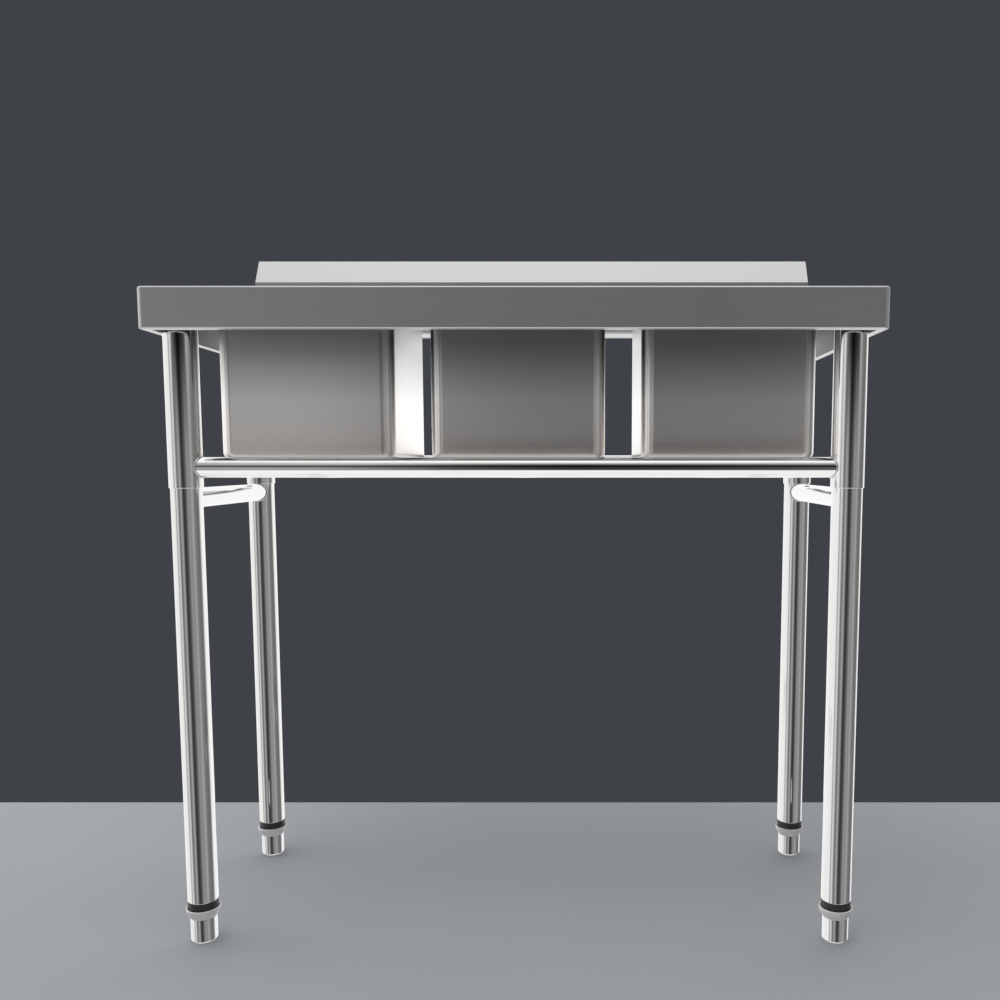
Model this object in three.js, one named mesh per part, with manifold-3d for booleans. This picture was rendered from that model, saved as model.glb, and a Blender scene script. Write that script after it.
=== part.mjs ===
// Free-standing three compartment sink, in millimetres: +X to the right, +Y to the back, +Z up, with
// the origin on the floor under the middle. A folded sheet top carries three welded bowls and a
// backsplash. Four sleeves hang below the top, tied by two rails, and four legs with screw feet plug
// into them. Each bowl has a waste with a lift-out strainer and a stopper.
import * as THREE from "three";
import { mergeVertices } from "three/addons/utils/BufferGeometryUtils.js";
import Module from "manifold-3d";

const wasm = await Module();
wasm.setup();

// Driving dimensions
const WIDTH = 900;
const DEPTH = 450;
const HEIGHT = 952;
const RIM_Z = 831;
const APRON_HEIGHT = 50;
const SHEET = 1.2;
const GAP = 0.3; // between pieces that touch

// Sheet top: a raised rim round a recessed deck, with aprons at the front and the sides
const RIM_RECESS = 5;
const RIM_WIDTH = 12;
const RIM_SLOPE = 6;
const APRON_LIP = 12.5;
const SHEET_BEND = 2.2;
const CORNER_RADIUS = 7;
const DECK_Z = RIM_Z - RIM_RECESS;

// Backsplash
const SPLASH_SETBACK = 26; // from its upright front face to the back of the sink
const SPLASH_LEAN = THREE.MathUtils.degToRad(33.5);
const SPLASH_BEND_Z = HEIGHT - 37.5;
const SPLASH_RETURN = 9;
const COVE_RADIUS = 8;
const SPLASH_Y = DEPTH / 2 - SPLASH_SETBACK;

// Bowls
const BOWL_WIDTH = 222.4;
const BOWL_DEPTH = 245;
const BOWL_PITCH = 268.4;
const BOWL_FRONT_Y = -165.5;
const BOWL_BOTTOM_Z = 626.5;
const BOWL_CORNER = 17;
const BOWL_FILLET = 8;
const BOWL_FALL = 3; // from the fillet down to the waste
const BOWL_EDGE_BEND = 3;
const BOWL_FLANGE = 5;
const BOWL_Y = BOWL_FRONT_Y + BOWL_DEPTH / 2;

// Legs and rails
const LEG_X = 414;
const FRONT_LEG_Y = -187.2;
const REAR_LEG_Y = 89.3;
const SLEEVE_RADIUS = 20.5;
const SLEEVE_WALL = 1.2;
const SLEEVE_END_Z = 590;
const LEG_RADIUS = 19;
const TUBE_WALL = 1.2;
const LEG_END_Z = 54;
const LEG_TOP_Z = 690;
const RAIL_RADIUS = 12.7;
const FRONT_RAIL_Z = 615.8;
const REAR_RAIL_Z = 620.5;
const SIDE_RAIL_Z = SLEEVE_END_Z - GAP - RAIL_RADIUS;
const PLATE_SIZE = 56;
const PLATE_THICKNESS = 2;
const PLATE_TOP_Z = DECK_Z - SHEET - GAP;
const STIFFENER_LENGTH = 760;
const SLEEVE_TOP_Z = PLATE_TOP_Z - PLATE_THICKNESS - GAP;
const SCREW_Z = 604;
const SCREW_RADIUS = 3;

// Screw feet
const FOOT_RADIUS = 16.6;
const FOOT_BEAD_RADIUS = 21.5;
const FOOT_BODY_HEIGHT = 31.5;
const FOOT_WIDEST_Z = 43;
const FOOT_RIM_Z = 44.5;
const CUP_FLOOR_Z = 41.5; // the collar sits in a shallow cup on top of the bead
const CUP_INSIDE_RADIUS = 19.8;
const STUD_RADIUS = 8;
const STUD_TOP_Z = 88;
const INSERT_TOP_Z = 92;

// Wastes: a dish pressed in the bowl's floor, and what is clamped in it
const DISH_RADIUS = 47;
const DISH_SLOPE = 5;
const DISH_DEPTH = 4;
const DISH_HOLE = 31;
const CUP_RADIUS = 29.5;
const OUTLET_RADIUS = 19;
const DISH_Z = BOWL_BOTTOM_Z - BOWL_FALL - DISH_DEPTH; // underside of the dish
const OUTLET_Z = BOWL_BOTTOM_Z - 25.5; // hidden behind the front rail
const SEAT_Z = OUTLET_Z + 6.5;
const GASKET_RADIUS = 40;
const GASKET_THICKNESS = 3;
const NUT_HEIGHT = 7.5;
const BASKET_RADIUS = 26.5;
const BASKET_FLOOR_Z = SEAT_Z + 7.8;
const SEAL_THICKNESS = 2.2;
const KNOB_TOP_Z = SEAT_Z + 32.5;

// Fineness of round shapes
const TUBE_SIDES = 24;
const SMALL_SIDES = 16;
const CORNER_STEPS = 3;

const steel = (color, roughness) => ({ color, roughness, metalness: 1 });
const FINISHES = {
  sheet: steel(0x8b8d8c, 0.34),
  bowl: steel(0x93918e, 0.38),
  tube: steel(0xc9cacb, 0.16),
  turned: steel(0xb9babb, 0.2),
  plastic: { color: 0x1c1b1e, roughness: 0.55, metalness: 0 },
  rubber: { color: 0x232323, roughness: 0.8, metalness: 0 },
};

// A three.js geometry as a solid that can be joined and cut.
function solid(geometry) {
  const bare = geometry.index ? geometry.toNonIndexed() : geometry.clone();
  bare.deleteAttribute("normal");
  bare.deleteAttribute("uv");
  const merged = mergeVertices(bare, 1e-4);
  return new wasm.Manifold(
    new wasm.Mesh({
      numProp: 3,
      vertProperties: new Float32Array(merged.attributes.position.array),
      triVerts: new Uint32Array(merged.index.array),
    }),
  );
}

// A solid back as a three.js geometry.
function shapeOf(body) {
  const mesh = body.getMesh();
  const geometry = new THREE.BufferGeometry();
  geometry.setAttribute("position", new THREE.BufferAttribute(mesh.vertProperties, 3));
  geometry.setIndex(new THREE.BufferAttribute(mesh.triVerts, 1));
  geometry.computeVertexNormals();
  return geometry;
}

function cut(geometry, ...tools) {
  return shapeOf(tools.reduce((body, tool) => body.subtract(solid(tool)), solid(geometry)));
}

function join(geometry, ...others) {
  return shapeOf(others.reduce((body, other) => body.add(solid(other)), solid(geometry)));
}

function part(name, geometry, finish, x = 0, y = 0, z = 0) {
  const mesh = new THREE.Mesh(geometry, new THREE.MeshStandardMaterial(FINISHES[finish]));
  mesh.name = name;
  mesh.position.set(x, y, z);
  return mesh;
}

function rod(radius, z0, z1, sides = TUBE_SIDES) {
  const geometry = new THREE.CylinderGeometry(radius, radius, z1 - z0, sides);
  return geometry.rotateX(Math.PI / 2).translate(0, 0, (z0 + z1) / 2);
}

// A lathe turned about Z. The outline runs up the outside and back down the inside or the axis.
function turned(outline, sides = TUBE_SIDES) {
  const points = outline.map(([r, z]) => new THREE.Vector2(r, z));
  return new THREE.LatheGeometry(points, sides).rotateX(Math.PI / 2);
}

function tube(radius, wall, z0, z1) {
  const inner = radius - wall;
  return turned([[inner, z0], [radius, z0], [radius, z1], [inner, z1], [inner, z0]]);
}

// One level of a folded or pressed sheet: a rounded rectangle at height z.
function level(halfX, halfY, radius, z) {
  return { halfX, halfY, radius, z };
}

// A nearly round level, whose four straight stretches are too short to see.
function roundLevel(radius, z) {
  const stub = 0.2;
  return level(radius + stub, radius + stub, radius, z);
}

function levelPoints({ halfX, halfY, radius, z }) {
  const points = [];
  for (let corner = 0; corner < 4; corner += 1) {
    const sx = corner === 0 || corner === 3 ? 1 : -1;
    const sy = corner < 2 ? 1 : -1;
    for (let step = 0; step <= CORNER_STEPS; step += 1) {
      const angle = (corner + step / CORNER_STEPS) * (Math.PI / 2);
      const x = sx * (halfX - radius) + radius * Math.cos(angle);
      const y = sy * (halfY - radius) + radius * Math.sin(angle);
      points.push(new THREE.Vector3(x, y, z));
    }
  }
  return points;
}

// Skins a list of levels, given from the top down the outside. As a ring the last level joins the
// first; otherwise both ends are closed to a middle point.
function pressed(levels, ring) {
  const loops = levels.map(levelPoints);
  const count = loops[0].length;
  const triangles = [];
  const pairs = ring ? loops.length : loops.length - 1;
  for (let k = 0; k < pairs; k += 1) {
    const a = loops[k];
    const b = loops[(k + 1) % loops.length];
    for (let i = 0; i < count; i += 1) {
      const j = (i + 1) % count;
      triangles.push(a[i], b[j], a[j], a[i], b[i], b[j]);
    }
  }
  if (!ring) {
    const first = loops[0];
    const last = loops[loops.length - 1];
    const start = new THREE.Vector3(0, 0, first[0].z);
    const end = new THREE.Vector3(0, 0, last[0].z);
    for (let i = 0; i < count; i += 1) {
      const j = (i + 1) % count;
      triangles.push(start, first[i], first[j]);
      triangles.push(end, last[j], last[i]);
    }
  }
  return new THREE.BufferGeometry().setFromPoints(triangles);
}

// A quarter bend from angle a0 to a1 as [inset, z] pairs about a centre.
function bend(centreInset, centreZ, radius, a0, a1, steps = 3) {
  const pairs = [];
  for (let i = 0; i <= steps; i += 1) {
    const angle = a0 + ((a1 - a0) * i) / steps;
    pairs.push([centreInset + radius * Math.cos(angle), centreZ + radius * Math.sin(angle)]);
  }
  return pairs;
}

// The closed outline of a sheet whose face follows a path, with its thickness on the path's left.
function sheetOutline(path, thickness, bendSteps = 3) {
  const face = [];
  const back = [];
  for (const curve of path.curves) {
    const steps = curve.isLineCurve ? 1 : bendSteps;
    for (let i = 0; i <= steps; i += 1) {
      const point = curve.getPoint(i / steps);
      const along = curve.getTangent(i / steps);
      if (i === 0 && face.length && face[face.length - 1].distanceTo(point) < 1e-6) continue;
      face.push(point);
      back.push(new THREE.Vector2(point.x - along.y * thickness, point.y + along.x * thickness));
    }
  }
  return new THREE.Shape([...face, ...back.reverse()]);
}

// Extrudes an outline drawn in (y, z) along X, centred on x = 0.
function acrossX(shape, width) {
  const geometry = new THREE.ExtrudeGeometry(shape, { depth: width, bevelEnabled: false });
  geometry.translate(0, 0, -width / 2);
  return geometry.rotateY(Math.PI / 2).rotateX(Math.PI / 2);
}

function box(x0, x1, y0, y1, z0, z1) {
  const geometry = new THREE.BoxGeometry(x1 - x0, y1 - y0, z1 - z0);
  return geometry.translate((x0 + x1) / 2, (y0 + y1) / 2, (z0 + z1) / 2);
}

// ---- Sheet top ----

// The top sheet runs from the lip under the apron, up the apron, over the rim and down to the deck,
// and back along its underside. Insets are measured from the apron's outer face.
function deckLevels(halfX, halfY) {
  const apronBottom = RIM_Z - APRON_HEIGHT;
  const r = SHEET_BEND;
  const half = Math.PI / 2;
  const slopeFoot = RIM_WIDTH + RIM_SLOPE;
  const outer = [
    [slopeFoot, DECK_Z],
    [RIM_WIDTH, RIM_Z],
    ...bend(r, RIM_Z - r, r, half, 2 * half),
    ...bend(r, apronBottom + r, r, 2 * half, 3 * half),
    [APRON_LIP, apronBottom],
  ];
  const inner = [
    [APRON_LIP, apronBottom + SHEET],
    ...bend(r, apronBottom + r, r - SHEET, 3 * half, 2 * half),
    ...bend(r, RIM_Z - r, r - SHEET, 2 * half, half),
    [RIM_WIDTH - 0.4, RIM_Z - SHEET],
    [slopeFoot - 0.4, DECK_Z - SHEET],
  ];
  return [...outer, ...inner].map(([inset, z]) => {
    const radius = Math.max(CORNER_RADIUS - inset, 0.6);
    return level(halfX - inset, halfY - inset, radius, z);
  });
}

function bowlX(index) {
  return (index - 1) * BOWL_PITCH;
}

function deck() {
  const halfY = DEPTH / 2 + 40;
  const top = pressed(deckLevels(WIDTH / 2, halfY), false);
  top.translate(0, halfY - DEPTH / 2, 0);
  const far = DEPTH;
  const insideRim = WIDTH / 2 - RIM_WIDTH - RIM_SLOPE;
  const coveFront = SPLASH_Y - COVE_RADIUS - 2;
  const cutters = [
    box(-WIDTH, WIDTH, SPLASH_Y - GAP, far, 0, HEIGHT),
    box(-insideRim, insideRim, coveFront - GAP, far, DECK_Z - 20, DECK_Z + 20),
  ];
  const reach = BOWL_FLANGE + GAP;
  const opening = [-20, 20].map((dz) =>
    level(BOWL_WIDTH / 2 + reach, BOWL_DEPTH / 2 + reach, BOWL_CORNER + reach, DECK_Z + dz),
  );
  for (let i = 0; i < 3; i += 1) {
    cutters.push(pressed(opening.slice().reverse(), false).translate(bowlX(i), BOWL_Y, 0));
  }
  return part("deck", cut(top, ...cutters), "sheet");
}

// The upright sheet turns back into a leaning ledge with a small return down its rear edge, and a
// cove joins it to the deck between the side rims.
function backsplash() {
  const r = 3;
  const lean = SPLASH_LEAN;
  const rear = DEPTH / 2;
  const up = new THREE.Path();
  const bendStart = SPLASH_BEND_Z - r * Math.tan(lean / 2);
  up.moveTo(SPLASH_Y, DECK_Z - SHEET);
  up.lineTo(SPLASH_Y, bendStart);
  up.absarc(SPLASH_Y + r, bendStart, r, Math.PI, Math.PI - lean, true);
  const crestY = rear - r;
  const crestAngle = Math.PI - lean;
  const crestZ = HEIGHT - r;
  up.lineTo(crestY + r * Math.cos(crestAngle), crestZ + r * Math.sin(crestAngle));
  up.absarc(crestY, crestZ, r, crestAngle, Math.PI / 2, true);
  up.absarc(crestY, crestZ, r, Math.PI / 2, 0, true);
  up.lineTo(rear, HEIGHT - SPLASH_RETURN);
  const sheet = acrossX(sheetOutline(up, -SHEET), WIDTH);
  const cove = new THREE.Path();
  const coveY = SPLASH_Y - COVE_RADIUS;
  cove.moveTo(coveY - 2, DECK_Z);
  cove.lineTo(coveY, DECK_Z);
  cove.absarc(coveY, DECK_Z + COVE_RADIUS, COVE_RADIUS, -Math.PI / 2, 0, false);
  cove.lineTo(SPLASH_Y, DECK_Z + COVE_RADIUS + 2);
  const coveWidth = WIDTH - 2 * (RIM_WIDTH + RIM_SLOPE + GAP);
  const coveSheet = acrossX(sheetOutline(cove, -SHEET), coveWidth);
  return part("backsplash", join(sheet, coveSheet), "sheet");
}

// A hat channel spot-welded under the deck, open to the top, running across between two y values.
function stiffener(name, y0, y1, height) {
  const thickness = SHEET;
  const foot = 8;
  const z1 = PLATE_TOP_Z;
  const path = new THREE.Path();
  path.moveTo(y0, z1);
  path.lineTo(y0 + foot, z1);
  path.lineTo(y0 + foot + thickness, z1 - height + thickness);
  path.lineTo(y1 - foot - thickness, z1 - height + thickness);
  path.lineTo(y1 - foot, z1);
  path.lineTo(y1, z1);
  const points = path.getPoints(1);
  const lower = points.map((point, i) => {
    const inFoot = i === 0 || i === points.length - 1;
    const outward = i < points.length / 2 ? -thickness : thickness;
    return new THREE.Vector2(point.x + (inFoot ? 0 : outward), point.y - thickness);
  });
  const shape = new THREE.Shape([...points, ...lower.reverse()]);
  return part(name, acrossX(shape, STIFFENER_LENGTH), "sheet");
}

// ---- Bowls ----

// One bowl as a single pressing: a flange in the deck's opening, walls, filleted floor and a dish
// for the waste. Heights are measured from the bottom of the fillet.
function bowlGeometry() {
  const halfX = BOWL_WIDTH / 2;
  const halfY = BOWL_DEPTH / 2;
  const top = DECK_Z - BOWL_BOTTOM_Z;
  const half = Math.PI / 2;
  const edge = BOWL_EDGE_BEND;
  const edgeZ = top - SHEET - edge;
  const walls = (pairs) =>
    pairs.map(([inset, z]) => level(halfX - inset, halfY - inset, BOWL_CORNER - inset, z));
  const outside = walls([
    [-BOWL_FLANGE, top - SHEET],
    ...bend(-edge, edgeZ, edge, half, 0),
    ...bend(BOWL_FILLET, BOWL_FILLET, BOWL_FILLET, 2 * half, 3 * half),
  ]);
  const inside = walls([
    ...bend(BOWL_FILLET, BOWL_FILLET, BOWL_FILLET - SHEET, 3 * half, 2 * half),
    ...bend(-edge, edgeZ, edge + SHEET, 0, half),
    [-BOWL_FLANGE, top],
  ]);
  const dish = (z) => [
    roundLevel(DISH_RADIUS + DISH_SLOPE, z),
    roundLevel(DISH_RADIUS, z - DISH_DEPTH),
    roundLevel(DISH_HOLE, z - DISH_DEPTH),
  ];
  return pressed([...outside, ...dish(-BOWL_FALL), ...dish(SHEET - BOWL_FALL).reverse(), ...inside], true);
}

// ---- Wastes ----

// Outlines are [radius, height] pairs about the waste's own axis, heights from the floor.
function wasteBody() {
  const wall = 1.5;
  const cupInner = CUP_RADIUS - wall;
  const flangeZ = DISH_Z + SHEET + GAP;
  const flangeRadius = DISH_RADIUS - 2;
  const outletInner = OUTLET_RADIUS - 2;
  return turned([
    [outletInner, OUTLET_Z],
    [OUTLET_RADIUS, OUTLET_Z],
    [OUTLET_RADIUS, SEAT_Z - wall],
    [CUP_RADIUS, SEAT_Z - wall],
    [CUP_RADIUS, flangeZ],
    [flangeRadius, flangeZ],
    [flangeRadius, flangeZ + 0.8],
    [flangeRadius - 1.5, flangeZ + 2],
    [cupInner + 3, flangeZ + 1.8],
    [cupInner, flangeZ - 1],
    [cupInner, SEAT_Z],
    [outletInner, SEAT_Z],
    [outletInner, OUTLET_Z],
  ], SMALL_SIDES);
}

function gasketRing() {
  const bottom = DISH_Z - GAP - GASKET_THICKNESS;
  return tube(GASKET_RADIUS, GASKET_RADIUS - CUP_RADIUS - GAP, bottom, DISH_Z - GAP);
}

// A ring nut with eight lugs for a spanner.
function backNut() {
  const lugs = 8;
  const lug = [[38, 0], [38, 0.5], [42, 0.56], [42, 0.94]]; // radius and share of one pitch
  const corners = [];
  for (let i = 0; i < lugs; i += 1) {
    for (const [radius, share] of lug) {
      const angle = ((i + share) / lugs) * 2 * Math.PI;
      corners.push(new THREE.Vector2(radius * Math.cos(angle), radius * Math.sin(angle)));
    }
  }
  const outline = new THREE.Shape(corners);
  outline.holes.push(new THREE.Path().absarc(0, 0, CUP_RADIUS + GAP, 0, 2 * Math.PI, true));
  const geometry = new THREE.ExtrudeGeometry(outline, {
    depth: NUT_HEIGHT,
    bevelEnabled: false,
    curveSegments: SMALL_SIDES / 2,
  });
  return geometry.translate(0, 0, DISH_Z - 2 * GAP - GASKET_THICKNESS - NUT_HEIGHT);
}

// A shallow strainer cup with slots through its floor and its side.
function basket() {
  const sheet = 1;
  const r = BASKET_RADIUS;
  const rimZ = DISH_Z + SHEET + GAP + 2 + GAP;
  const cup = turned([
    [4.6, BASKET_FLOOR_Z],
    [r - 2, BASKET_FLOOR_Z],
    [r, BASKET_FLOOR_Z + 2],
    [r, rimZ],
    [r + 7, rimZ],
    [r + 7, rimZ + sheet],
    [r - sheet, rimZ + sheet],
    [r - sheet, BASKET_FLOOR_Z + 2],
    [r - 2 - sheet, BASKET_FLOOR_Z + sheet],
    [4.6, BASKET_FLOOR_Z + sheet],
    [4.6, BASKET_FLOOR_Z],
  ], SMALL_SIDES);
  const slots = [];
  const floorSlots = 6;
  for (let i = 0; i < floorSlots; i += 1) {
    const slot = box(10, 21, -1.5, 1.5, BASKET_FLOOR_Z - 2, BASKET_FLOOR_Z + 3);
    slots.push(slot.rotateZ((i / floorSlots) * 2 * Math.PI));
  }
  const sideSlots = 8;
  for (let i = 0; i < sideSlots; i += 1) {
    const slot = box(r - 4, r + 4, -1.5, 1.5, BASKET_FLOOR_Z + 3.5, rimZ - 2);
    slots.push(slot.rotateZ(((i + 0.5) / sideSlots) * 2 * Math.PI));
  }
  return cut(cup, ...slots);
}

// The knob, its shank through the basket, the clamping disc and the rivet below the seal.
function stopperPost() {
  const sealTop = SEAT_Z + GAP + SEAL_THICKNESS;
  return turned([
    [0, sealTop - 3.9],
    [5, sealTop - 3.9],
    [5, sealTop - 2.5],
    [2.5, sealTop - 2.5],
    [2.5, sealTop + GAP],
    [9, sealTop + GAP],
    [9, sealTop + 1],
    [3.5, sealTop + 1],
    [3.5, KNOB_TOP_Z - 9],
    [6.5, KNOB_TOP_Z - 7.5],
    [8, KNOB_TOP_Z - 5],
    [8, KNOB_TOP_Z - 2],
    [6.5, KNOB_TOP_Z - 0.4],
    [0, KNOB_TOP_Z],
  ], SMALL_SIDES);
}

function stopperSeal() {
  const z0 = SEAT_Z + GAP;
  const z1 = z0 + SEAL_THICKNESS;
  return turned([[2.8, z0], [20.5, z0], [21.5, z0 + 1], [20.5, z1], [2.8, z1], [2.8, z0]], SMALL_SIDES);
}

// ---- Legs ----

// A round tube along X or Y between two upright tubes, its ends shaped to fit round them.
function copedRail(length, againstRadius, alongX) {
  const blank = tube(RAIL_RADIUS, TUBE_WALL, -length / 2, length / 2);
  const notches = [-1, 1].map((end) => {
    const upright = rod(againstRadius + GAP, -40, 40);
    return upright.rotateX(Math.PI / 2).translate(0, 0, (end * length) / 2);
  });
  const rail = cut(blank, ...notches);
  return alongX ? rail.rotateX(Math.PI / 2).rotateZ(Math.PI / 2) : rail.rotateX(Math.PI / 2);
}

// The sleeve with the tapped hole for its screw, which faces +Y.
function sleeve() {
  const hole = rod(SCREW_RADIUS + 0.1, 0, 40, 16).rotateX(-Math.PI / 2).translate(0, 0, SCREW_Z);
  return cut(tube(SLEEVE_RADIUS, SLEEVE_WALL, SLEEVE_END_Z, SLEEVE_TOP_Z), hole);
}

// A button-head screw with a hexagon socket, along +Y from the sleeve's bore.
function setScrew() {
  const seat = SLEEVE_RADIUS + GAP;
  const tip = LEG_RADIUS + GAP;
  const screw = turned([
    [0, tip],
    [SCREW_RADIUS, tip],
    [SCREW_RADIUS, seat],
    [5.2, seat],
    [5.2, seat + 1],
    [4.2, seat + 2.4],
    [2.6, seat + 3.1],
    [0, seat + 3.2],
  ], SMALL_SIDES);
  return cut(screw, rod(1.9, seat + 1.4, seat + 5, 6)).rotateX(-Math.PI / 2).translate(0, 0, SCREW_Z);
}

// The plug pressed into the leg's end, with a collar below it and a bore for the stud.
function legInsert() {
  const bore = STUD_RADIUS + GAP;
  const collar = LEG_RADIUS + 0.2;
  const plug = LEG_RADIUS - TUBE_WALL - GAP;
  const low = CUP_FLOOR_Z + GAP;
  const top = LEG_END_Z - GAP;
  return turned([
    [bore, low],
    [collar - 0.8, low],
    [collar, low + 0.8],
    [collar, top],
    [plug, top],
    [plug, INSERT_TOP_Z - 2],
    [plug - 2, INSERT_TOP_Z],
    [bore, INSERT_TOP_Z],
    [bore, low],
  ], SMALL_SIDES);
}

// A turned foot: a straight body, a bead that flares up to a shallow cup, and the screwed stud.
function foot() {
  const steps = 4;
  const flare = [];
  for (let i = 0; i <= steps; i += 1) {
    const out = Math.sin(((i / steps) * Math.PI) / 2);
    const up = i / steps;
    flare.push([
      FOOT_RADIUS + (FOOT_BEAD_RADIUS - FOOT_RADIUS) * out,
      FOOT_BODY_HEIGHT + (FOOT_WIDEST_Z - FOOT_BODY_HEIGHT) * up,
    ]);
  }
  return turned([
    [0, 0],
    [FOOT_RADIUS - 1.2, 0],
    [FOOT_RADIUS, 1.2],
    ...flare,
    [FOOT_BEAD_RADIUS - 0.5, FOOT_RIM_Z],
    [CUP_INSIDE_RADIUS, FOOT_RIM_Z],
    [CUP_INSIDE_RADIUS, CUP_FLOOR_Z],
    [STUD_RADIUS, CUP_FLOOR_Z],
    [STUD_RADIUS, STUD_TOP_Z - 1],
    [STUD_RADIUS - 1, STUD_TOP_Z],
    [0, STUD_TOP_Z],
  ]);
}

// One leg with everything on its axis. The screw faces the middle of the sink's depth.
function leg(place, x, y) {
  const group = new THREE.Group();
  group.position.set(x, y, 0);
  const faces = y < 0 ? 0 : Math.PI;
  const socket = part("leg_sleeve_" + place, sleeve(), "tube");
  const screw = part("set_screw_" + place, setScrew(), "turned");
  socket.rotation.z = faces;
  screw.rotation.z = faces;
  const halfPlate = PLATE_SIZE / 2;
  const plate = box(-halfPlate, halfPlate, -halfPlate, halfPlate, PLATE_TOP_Z - PLATE_THICKNESS, PLATE_TOP_Z);
  const tubeBody = tube(LEG_RADIUS, TUBE_WALL, LEG_END_Z, LEG_TOP_Z);
  group.add(socket, screw);
  group.add(part("sleeve_plate_" + place, plate, "sheet"));
  group.add(part("leg_tube_" + place, tubeBody, "tube"));
  group.add(part("leg_insert_" + place, legInsert(), "plastic"));
  group.add(part("foot_" + place, foot(), "turned"));
  return group;
}

function waste(place) {
  const group = new THREE.Group();
  group.add(part("waste_body_" + place, wasteBody(), "turned"));
  group.add(part("waste_gasket_" + place, gasketRing(), "rubber"));
  group.add(part("waste_nut_" + place, backNut(), "plastic"));
  group.add(part("strainer_basket_" + place, basket(), "turned"));
  group.add(part("stopper_post_" + place, stopperPost(), "turned"));
  group.add(part("stopper_seal_" + place, stopperSeal(), "rubber"));
  return group;
}

// ---- The sink ----

const sink = new THREE.Group();

const top = new THREE.Group();
top.add(deck(), backsplash());
top.add(stiffener("deck_stiffener_front", -208, -172, 18));
top.add(stiffener("deck_stiffener_rear", 110, 172, 3.6));
sink.add(top);

["left", "middle", "right"].forEach((place, i) => {
  const bay = new THREE.Group();
  bay.position.set(bowlX(i), BOWL_Y, 0);
  bay.add(part("bowl_" + place, bowlGeometry(), "bowl", 0, 0, BOWL_BOTTOM_Z));
  bay.add(waste(place));
  sink.add(bay);
});

const LEG_PLACES = [
  ["front_left", -LEG_X, FRONT_LEG_Y],
  ["front_right", LEG_X, FRONT_LEG_Y],
  ["rear_left", -LEG_X, REAR_LEG_Y],
  ["rear_right", LEG_X, REAR_LEG_Y],
];
LEG_PLACES.forEach(([place, x, y]) => sink.add(leg(place, x, y)));

const rails = new THREE.Group();
rails.add(part("front_rail", copedRail(2 * LEG_X, SLEEVE_RADIUS, true), "tube", 0, FRONT_LEG_Y, FRONT_RAIL_Z));
rails.add(part("rear_rail", copedRail(2 * LEG_X, SLEEVE_RADIUS, true), "tube", 0, REAR_LEG_Y, REAR_RAIL_Z));
const legSpacing = REAR_LEG_Y - FRONT_LEG_Y;
const sideY = (REAR_LEG_Y + FRONT_LEG_Y) / 2;
rails.add(part("side_rail_left", copedRail(legSpacing, LEG_RADIUS, false), "tube", -LEG_X, sideY, SIDE_RAIL_Z));
rails.add(part("side_rail_right", copedRail(legSpacing, LEG_RADIUS, false), "tube", LEG_X, sideY, SIDE_RAIL_Z));
sink.add(rails);

export default sink;
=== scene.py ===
"""Looks of the three compartment sink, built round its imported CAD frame. Metres, +Z up."""
import math

import bmesh
import bpy
from mathutils import Matrix, Vector


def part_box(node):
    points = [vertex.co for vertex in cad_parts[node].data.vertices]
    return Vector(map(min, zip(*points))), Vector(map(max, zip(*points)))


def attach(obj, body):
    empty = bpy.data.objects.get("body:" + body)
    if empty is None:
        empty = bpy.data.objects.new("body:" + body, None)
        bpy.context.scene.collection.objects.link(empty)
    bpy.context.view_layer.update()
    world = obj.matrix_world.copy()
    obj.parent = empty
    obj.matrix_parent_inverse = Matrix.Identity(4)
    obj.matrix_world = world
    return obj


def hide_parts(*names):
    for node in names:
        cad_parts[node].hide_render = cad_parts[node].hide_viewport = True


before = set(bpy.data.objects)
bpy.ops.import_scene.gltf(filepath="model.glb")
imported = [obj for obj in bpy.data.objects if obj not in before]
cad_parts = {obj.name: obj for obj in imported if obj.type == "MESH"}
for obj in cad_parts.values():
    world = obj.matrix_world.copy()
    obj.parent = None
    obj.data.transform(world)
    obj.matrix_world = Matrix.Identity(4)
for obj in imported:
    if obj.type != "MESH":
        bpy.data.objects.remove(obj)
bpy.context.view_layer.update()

MM = 0.001
PI = math.pi
GAP = 0.3 * MM  # between CAD pieces that touch
SHEET = 1.2 * MM
TURN_STEPS = 96  # sides of a round piece
BEND_STEPS = 6
CORNER_STEPS = 14
SHARP = math.radians(28)  # an edge that turns more than this stays crisp

PLACES = ["left", "middle", "right"]
LEG_PLACES = ["front_left", "front_right", "rear_left", "rear_right"]


# ---------------------------------------------------------------- mesh tools

def new_object(name, bm):
    """The bmesh as an object in the scene, smooth except along its sharp edges."""
    bmesh.ops.remove_doubles(bm, verts=bm.verts, dist=1e-7)
    bmesh.ops.recalc_face_normals(bm, faces=bm.faces)
    mesh = bpy.data.meshes.new(name)
    bm.to_mesh(mesh)
    bm.free()
    return object_of(name, mesh)


def object_of(name, mesh):
    mesh.shade_smooth()
    mesh.set_sharp_from_angle(angle=SHARP)
    obj = bpy.data.objects.new(name, mesh)
    bpy.context.scene.collection.objects.link(obj)
    return obj


def skin(bm, loops, ring=False, caps=(False, False)):
    """Quads between loops of equal length. A cap closes an end loop with one face."""
    rows = [[bm.verts.new(p) for p in loop] for loop in loops]
    count = len(rows[0])
    pairs = len(rows) if ring else len(rows) - 1
    for k in range(pairs):
        a, b = rows[k], rows[(k + 1) % len(rows)]
        for i in range(count):
            j = (i + 1) % count
            bm.faces.new((a[i], b[i], b[j], a[j]))
    if caps[0]:
        bm.faces.new(rows[0])
    if caps[1]:
        bm.faces.new(list(reversed(rows[-1])))
    return rows


def arc(centre_u, centre_v, radius, start, end, steps=BEND_STEPS):
    """Points (u, v) along a circular arc."""
    points = []
    for i in range(steps + 1):
        angle = start + (end - start) * i / steps
        points.append((centre_u + radius * math.cos(angle), centre_v + radius * math.sin(angle)))
    return points


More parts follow.
